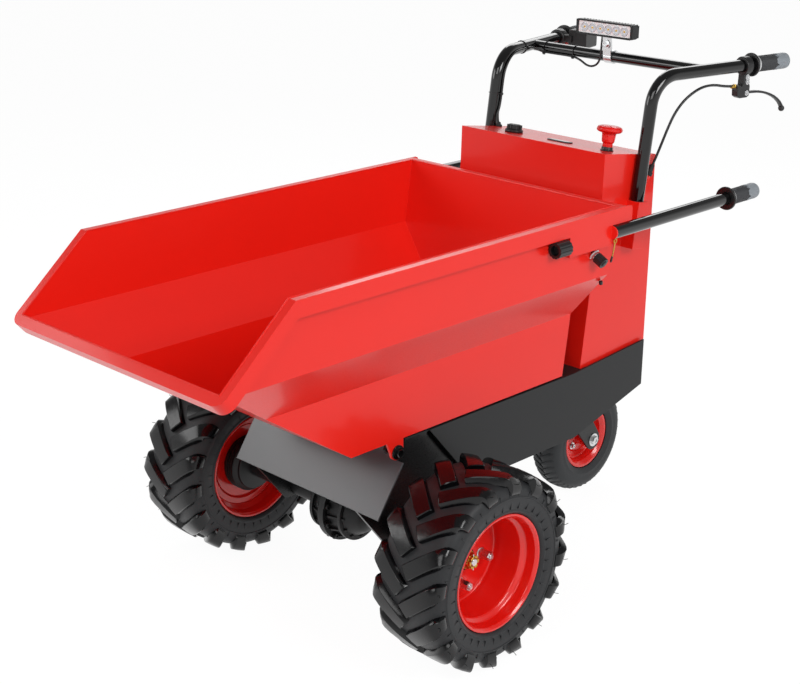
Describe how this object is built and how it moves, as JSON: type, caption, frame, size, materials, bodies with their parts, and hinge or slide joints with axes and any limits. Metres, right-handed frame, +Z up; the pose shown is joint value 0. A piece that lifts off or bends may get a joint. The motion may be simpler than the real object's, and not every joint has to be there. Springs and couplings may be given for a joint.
{
  "type": "electric walk-behind mini dumper",
  "caption": "Walk-behind electric dumper: open scoop hopper that tips forward, lugged drive wheels, swivel caster, control cabinet and handlebars.",
  "frame": {"origin": "on the ground, centred under the machine's overall box", "axes": "-Y is forward, the open mouth of the hopper; +Y is towards the operator; +X is the machine's left; +Z is up"},
  "size_m": [0.886, 1.6926, 1.1335],
  "materials": {
    "red_paint": "gloss powder coat",
    "rim_red": "gloss",
    "dark_grey": "satin powder coat",
    "frame_black": "satin",
    "cast_black": "painted",
    "gloss_black": "gloss",
    "zinc": "zinc plated",
    "hub_steel": "machined",
    "rubber": "matt",
    "grip_rubber": "matt",
    "cable_black": "smooth",
    "black_plastic": "fine grain",
    "red_plastic": "gloss",
    "lamp_black": "black anodised",
    "lens": "clear",
    "display": "dark gloss",
    "tyre": "moulded"
  },
  "bodies": {
    "chassis": {"chassis_frame": "dark_grey", "front_guard": "dark_grey", "axle_carrier": "frame_black", "rest_pads": "rubber", "pivot_bracket_left": "frame_black", "pivot_bracket_right": "frame_black", "tip_pin_left": "frame_black", "tip_pin_right": "frame_black", "transaxle": "cast_black", "drive_motor": "cast_black", "cabinet_shell": "red_paint", "cabinet_door": "red_paint", "handlebar_frame": "gloss_black", "bar_grip_left": "grip_rubber", "bar_grip_right": "grip_rubber", "brake_perch": "black_plastic", "brake_lever": "black_plastic", "brake_cable": "cable_black", "throttle": "black_plastic", "lamp_housing": "lamp_black", "lamp_lens": "lens", "lamp_bracket": "zinc", "lamp_wire": "cable_black", "stop_knob": "red_plastic", "key_cap": "black_plastic", "gauge": "display", "caster_plate": "frame_black"},
    "hopper": {"hopper_shell": "red_paint", "tip_handle_left": "gloss_black", "tip_handle_right": "gloss_black", "tip_grip_left": "grip_rubber", "tip_grip_right": "grip_rubber", "latch_knob": "black_plastic", "latch_plunger": "black_plastic"},
    "wheel_left": {"tyre_left": "tyre", "rim_left": "rim_red", "hub_left": "hub_steel"},
    "wheel_right": {"tyre_right": "tyre", "rim_right": "rim_red", "hub_right": "hub_steel"},
    "caster_swivel": {"caster_fork": "frame_black", "caster_axle": "zinc"},
    "caster_wheel": {"caster_rim": "rim_red", "caster_tyre": "tyre"}
  },
  "joints": [
    {"name": "hopper_tip", "type": "hinge", "parent": "chassis", "child": "hopper", "pos_m": [0, -0.329, 0.41], "axis": [1, 0, 0], "range_deg": [0, 65]},
    {"name": "wheel_left_roll", "type": "hinge", "parent": "chassis", "child": "wheel_left", "pos_m": [0.358, -0.265, 0.203], "axis": [1, 0, 0], "continuous": true},
    {"name": "wheel_right_roll", "type": "hinge", "parent": "chassis", "child": "wheel_right", "pos_m": [-0.358, -0.265, 0.203], "axis": [1, 0, 0], "continuous": true},
    {"name": "caster_turn", "type": "hinge", "parent": "chassis", "child": "caster_swivel", "pos_m": [0, 0.421, 0.137], "axis": [0, 0, 1], "continuous": true},
    {"name": "caster_roll", "type": "hinge", "parent": "caster_swivel", "child": "caster_wheel", "pos_m": [0, 0.517, 0.137], "axis": [1, 0, 0], "continuous": true}
  ]
}
